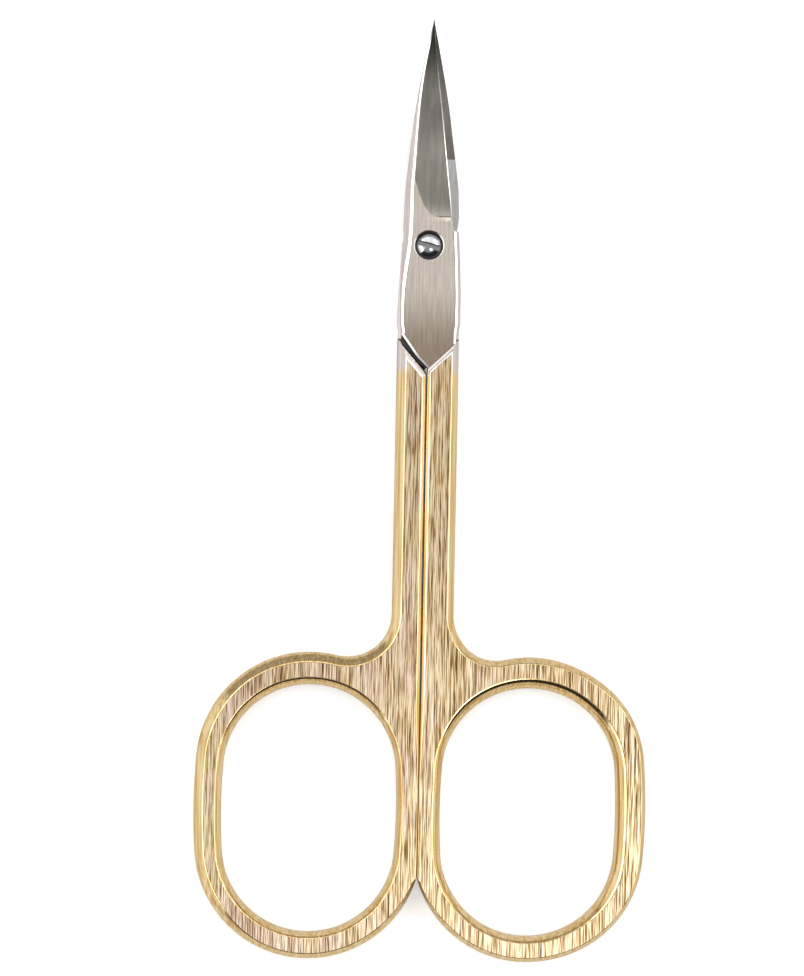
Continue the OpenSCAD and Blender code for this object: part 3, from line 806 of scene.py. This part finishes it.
def stations():
    """Where the sections of plate and blade lie, closest at the heel and the step."""
    ys = [-VEE_POINT - TAIL_END, -VEE_POINT, -10.6, -10, -9.6, -STEP_OUTER, -8.9, -VEE_OUTER, -8.3]
    ys += [-7.5 + i * (HEEL_Y + 7.45) / 9 for i in range(10)]
    ys += [HEEL_Y, HEEL_Y + 0.04, HEEL_Y + 0.13, HEEL_Y + 0.25, HEEL_Y + HEEL_R]
    ys += [GRIND_Y - d for d in (0.52, 0.45, 0.38, 0.31, 0.24, 0.17, 0.1, 0.04)]
    ys += [GRIND_Y + 0.12 * i * i / 10 for i in range(17)]
    ys += [GRIND_Y + 3.2 + i * (BLADE_REACH - TIP_W - GRIND_Y - 3.2) / 45 for i in range(1, 46)]
    return ys + [BLADE_REACH]


def tang():
    """The joint plate and blade of the upper half in one piece."""
    def places(y):
        return [Vector((x, y, MID_Z + parting(x, y) + PLAY / 2 + t)) for x, t, _ in tang_section(y)]

    ys = stations()
    bm = bmesh.new()
    ring = line_through(bm, places(ys[0]))
    bmesh.ops.contextual_create(bm, geom=[ring[0], ring[-1]])
    bmesh.ops.contextual_create(bm, geom=bm.edges[:])
    for y in ys[1:]:
        old, ring = ring, extrude_ring(bm, ring, places(y), "satin")
        for i, (edge, (_, _, finish)) in enumerate(zip(ring_edges(bm, ring), tang_section(y))):
            for face in edge.link_faces:
                if old[i] in face.verts:
                    face.material_index = SLOTS.index(finish)
    bmesh.ops.contextual_create(bm, geom=ring_edges(bm, ring))
    return crease(bm, 9)


def lower_tang():
    """The lower plate and blade: the upper one turned over, set against the same curved parting surface."""
    bm = tang()
    for v in bm.verts:
        x, y, z = v.co
        h = z - MID_Z - parting(x, y)
        back = smoothstep(y, 0.5, 3) * smoothstep(-y, -21, -12) if x < 0 else 0
        x = -x * (1 + LOWER_BACK_WIDER * back)
        v.co = (x, y, MID_Z + parting(x, y) - h)
    return bm


def shifted(bm, left):
    """The right side of shank, plate and lower blade stands out a little more, and the joint's left side by left."""
    for v in bm.verts:
        x, y, _ = v.co
        above_loop, before_tip = smoothstep(y, -44, -36), smoothstep(-y, -12, -3)
        v.co.x += RIGHT_WIDER * smoothstep(x, 1.5, 2.3) * above_loop * before_tip
        beside_screw = smoothstep(y, -10, -1) * smoothstep(-y, -6, -2)
        v.co.x -= left * smoothstep(-x, 1.6, 2.3) * beside_screw
    return bm


# ---- the three pieces ----

def front_half():
    """The upper half, with the hole for the neck and the seat of the head, whose walls carry painted shade, and a
    narrow rim round them in edge steel, which carries painted highlight.
    """
    bore_r = NECK_R + PLAY
    rim = rod([(0, RIM_Z), (1.3, RIM_Z), (SEAT_R, 2.74), (1.45, PLATE_TOP), (1.53, 2.84), (1.53, 3.5), (0, 3.5)],
              "edge")
    bore = rod([(0, 1), (bore_r, 1), (bore_r, SEAT_Z), (SEAT_R, SEAT_Z), (SEAT_R, 3.5), (0, 3.5)], "dark")
    plate = crease(cut(cut(tang(), rim), bore), 9)
    return shifted(joined(half_handle(LOOP_WIDER, LOOP_LOWER), plate), FRONT_LEFT_WIDER)


def rear_half():
    """The lower half, turned over about the length of the scissors, with the tapped hole flared below."""
    hole_r = THREAD_R + 0.02
    flare_r = hole_r + 0.28
    # The hole's walls carry painted shade.
    hole = rod([(0, -1), (flare_r, -1), (flare_r, 0.08), (hole_r, THREAD_Z), (hole_r, 2), (0, 2)], "dark")
    plate = crease(cut(lower_tang(), hole), 9)
    shank = half_handle()
    bmesh.ops.rotate(shank, cent=(0, 0, MID_Z), matrix=Matrix.Rotation(math.pi, 3, "Y"), verts=shank.verts)
    return shifted(joined(shank, plate), REAR_LEFT_WIDER)


def pivot_screw():
    """The screw: a domed, polished head with one slot, a plain neck, thread rings and a flared end."""
    top, arris, foot_z = PLATE_TOP + HEAD_PROUD, 0.04, 2.25
    dome_w, dome_h = HEAD_R - arris, top - RIM_Z
    dome_r = (dome_w ** 2 + dome_h ** 2) / (2 * dome_h)
    dome = [(r, top - dome_r + math.sqrt(dome_r * dome_r - r * r))
            for r in (dome_w * i / 14 for i in range(14, -1, -1))]
    thread = []
    for i in range(TURNS):
        z = THREAD_Z + i * PITCH
        thread += [(ROOT_R, z), (THREAD_R, z + 0.12), (THREAD_R, z + 0.17), (ROOT_R, z + 0.29)]
    bm = crease(rod([
        (0, 0.22), (FLARE_R, 0.22), (THREAD_R, 0.34), *thread, (ROOT_R, 1.48), (NECK_R, 1.49), (NECK_R, foot_z),
        (HEAD_R - 0.03, foot_z), (HEAD_R, foot_z + 0.03), (HEAD_R, RIM_Z - arris), (HEAD_R - 0.02, RIM_Z - 0.01),
        *dome], "screw"), 20)
    # The slot's floor has a narrow trench along its upper side, in dark steel: painted shade under the slot's upper
    # wall.
    floor_z = top - SLOT_DEPTH
    slot = cut(bm, block((4, SLOT_W, 2), (0, 0, floor_z + 1), SLOT_ANGLE, "screw"))
    trench = block((2.6, 0.11, 2), (0, 0.2, floor_z + 0.8), SLOT_ANGLE, "dark")
    return crease(cut(slot, trench), 20)


finished(front_half(), "front_half_forging", "front", ["front_half"])
finished(rear_half(), "rear_half_forging", "rear", ["rear_half"])
finished(pivot_screw(), "slotted_pivot_screw", "rear", ["pivot_screw"])


# ---- studio ----

scene = bpy.context.scene
scene.view_settings.view_transform = "Standard"
WHITE = (1, 1, 1, 1)

# How bright the plain walls of the room are, and what the metal mirrors besides them, as patches seen from the table:
# (azimuth, half its width, from tilt, to tilt, softness, brightness). All angles are in degrees, azimuth 0 is to the
# right and 90 beyond the tips, and tilt counts from straight up. A later patch lies over the earlier ones.
WALLS = 0.95
ROOM = [
    (90, 60, 20, 50, 8, 1.5),      # light wall beyond the tips
    (90, 55, 52, 95, 8, 0.42),     # and the dim one under it
    (0, 180, -20, 16, 20, 0.42),   # ceiling
    (0, 50, 34, 50, 4, 4.2),       # window on the right
    (180, 50, 34, 50, 4, 3.8),     # window on the left
    (-80, 62, 13, 38, 8, 0.38),    # arms and chest of whoever holds the camera
    (-82, 57, 36, 77, 4, 0.03),    # the dark clothes
    (-90, 54, 82, 85, 2, 0.12),    # and a dark shelf
]

# The camera looks at LOOK, in millimetres from the screw, and takes in VIEW_H over the height of the picture.
LOOK, DISTANCE, VIEW_H, SENSOR = Vector((-2.13, -23.3, 2.0)), 400.0, 93.7, 36.0
LEAN, ROLL = math.radians(1.0), math.radians(1.13)


def white_board():
    """Plain white board. A glow that only the camera sees makes it white, and it keeps the scissors' shadow.

    The metal mirrors the board as it is lit, without the glow.
    """
    material, tree, shader = new_material("white_board", {"Base Color": (0.72, 0.72, 0.72, 1), "Roughness": 0.9})
    seen = add(tree, "ShaderNodeLightPath").outputs["Is Camera Ray"]
    power = add(tree, "ShaderNodeMath", {"operation": "MULTIPLY", 1: 0.5}, _0=seen).outputs[0]
    glow = add(tree, "ShaderNodeEmission", {"Color": WHITE}, Strength=power)
    both = add(tree, "ShaderNodeAddShader", None, _0=shader.outputs[0], _1=glow.outputs[0])
    out = [node for node in tree.nodes if node.type == "OUTPUT_MATERIAL"][0]
    tree.links.new(both.outputs[0], out.inputs["Surface"])
    return material


def table():
    """The board that the scissors lie on, a tenth of a millimetre below them."""
    bm = bmesh.new()
    bmesh.ops.create_grid(bm, x_segments=1, y_segments=1, size=3.0)
    bmesh.ops.translate(bm, vec=(0, 0, -0.1 * MM), verts=bm.verts)
    return as_object(bm, "floor", [white_board()])


def patch(tree, way, azimuth, half, low, high, soft):
    """1 inside one patch of the room and 0 outside it, for the direction way."""
    def mapped(value, at_0, at_1):
        return add(tree, "ShaderNodeMapRange", {
            "interpolation_type": "SMOOTHSTEP", "From Min": at_0, "From Max": at_1}, Value=value).outputs["Result"]

    def cos(degrees):
        return math.cos(math.radians(max(0.0, min(180.0, degrees))))

    parts = add(tree, "ShaderNodeSeparateXYZ", None, Vector=way)
    level = add(tree, "ShaderNodeCombineXYZ", None, X=parts.outputs["X"], Y=parts.outputs["Y"]).outputs[0]
    ahead = add(tree, "ShaderNodeVectorMath", {"operation": "NORMALIZE"}, _0=level).outputs[0]
    turn = math.radians(azimuth)
    side = add(tree, "ShaderNodeVectorMath", {
        "operation": "DOT_PRODUCT", 1: (math.cos(turn), math.sin(turn), 0)}, _0=ahead).outputs["Value"]
    inside = mapped(parts.outputs["Z"], cos(high + soft / 2), cos(high - soft / 2))
    if low > 0:
        past = mapped(parts.outputs["Z"], cos(low - soft / 2), cos(low + soft / 2))
        inside = add(tree, "ShaderNodeMath", {"operation": "MULTIPLY"}, _0=inside, _1=past).outputs[0]
    if half < 180:
        wide = mapped(side, cos(half + 4), cos(half - 4))
        inside = add(tree, "ShaderNodeMath", {"operation": "MULTIPLY"}, _0=inside, _1=wide).outputs[0]
    return inside


def studio_world():
    """The room around the table. The camera itself sees plain white."""
    world = bpy.data.worlds.new("studio_room")
    world.use_nodes = True
    tree = world.node_tree
    tree.nodes.clear()
    way = add(tree, "ShaderNodeTexCoord").outputs["Generated"]
    level = add(tree, "ShaderNodeValue").outputs[0]
    level.default_value = WALLS
    for azimuth, half, low, high, soft, brightness in ROOM:
        near = patch(tree, way, azimuth, half, low, high, soft)
        level = add(tree, "ShaderNodeMix", {"data_type": "FLOAT", 3: brightness}, _0=near, _2=level).outputs[0]
    back = add(tree, "ShaderNodeBackground", {"Color": WHITE}, Strength=level)
    white = add(tree, "ShaderNodeBackground", {"Strength": 1.0, "Color": WHITE})
    path = add(tree, "ShaderNodeLightPath")
    pick = add(tree, "ShaderNodeMixShader", None, _0=path.outputs["Is Camera Ray"], _1=back.outputs[0],
               _2=white.outputs[0])
    add(tree, "ShaderNodeOutputWorld", None, Surface=pick.outputs[0])
    scene.world = world


def soft_lamp():
    """A small soft lamp beside the camera brightens the flats towards the right loop."""
    light = bpy.data.lights.new("soft_lamp", "AREA")
    light.size = 0.09
    light.energy = 0.17
    lamp = bpy.data.objects.new("soft_lamp", light)
    scene.collection.objects.link(lamp)
    lamp.location = PIVOT + Vector((0.085, -0.14, 0.4))
    lamp.rotation_euler = (math.radians(-14), math.radians(7), 0)
    lamp.visible_camera = False


def camera_above():
    """The camera stands nearly straight above, a little to the left.

    It is rolled anticlockwise, which leans the scissors clockwise, to the right.
    """
    data = bpy.data.cameras.new("camera")
    camera = bpy.data.objects.new("camera", data)
    scene.collection.objects.link(camera)
    scene.camera = camera
    back = Vector((-math.sin(LEAN), 0, math.cos(LEAN)))
    right = Vector((math.cos(LEAN), 0, math.sin(LEAN)))
    up = back.cross(right)
    side = right * math.cos(ROLL) + up * math.sin(ROLL)
    top = up * math.cos(ROLL) - right * math.sin(ROLL)
    place = Matrix((side, top, back)).transposed().to_4x4()
    place.translation = PIVOT + (LOOK + back * DISTANCE) * MM
    camera.matrix_world = place
    data.sensor_width = SENSOR
    data.lens = SENSOR * DISTANCE / VIEW_H
    data.clip_start, data.clip_end = 0.01, 20.0


floor = table()
studio_world()
soft_lamp()
camera_above()
